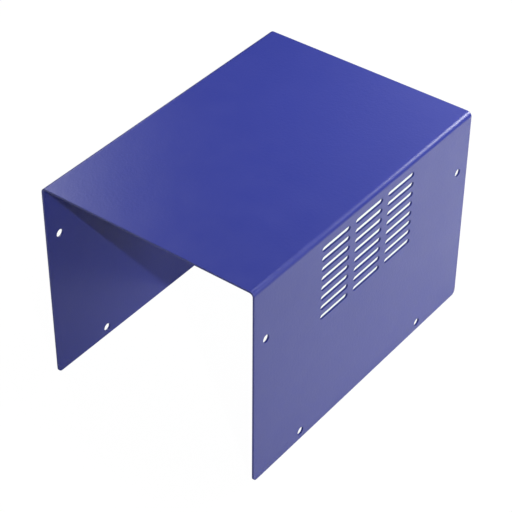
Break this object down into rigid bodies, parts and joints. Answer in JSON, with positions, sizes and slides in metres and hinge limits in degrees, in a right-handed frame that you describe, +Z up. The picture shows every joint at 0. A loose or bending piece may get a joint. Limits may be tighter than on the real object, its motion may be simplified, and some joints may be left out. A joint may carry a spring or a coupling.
{
  "type": "sheet metal instrument cover",
  "caption": "Folded sheet-metal instrument cover, an upside-down U open at the front, back and below, with screw holes in its flanges and vent slots in the right flange.",
  "frame": {"origin": "on the plane of the flanges' bottom edges, under the middle of the top", "axes": "+Z up; -Y is the open front end and +Y the open back end; +X is the right flange, the one with the vent slots"},
  "size_m": [0.1424, 0.2, 0.1324],
  "materials": {
    "blue_powder_coat": "semi-gloss blue-violet powder coat with a fine orange peel"
  },
  "bodies": {
    "root": {"folded_cover": "blue_powder_coat"}
  },
  "joints": []
}
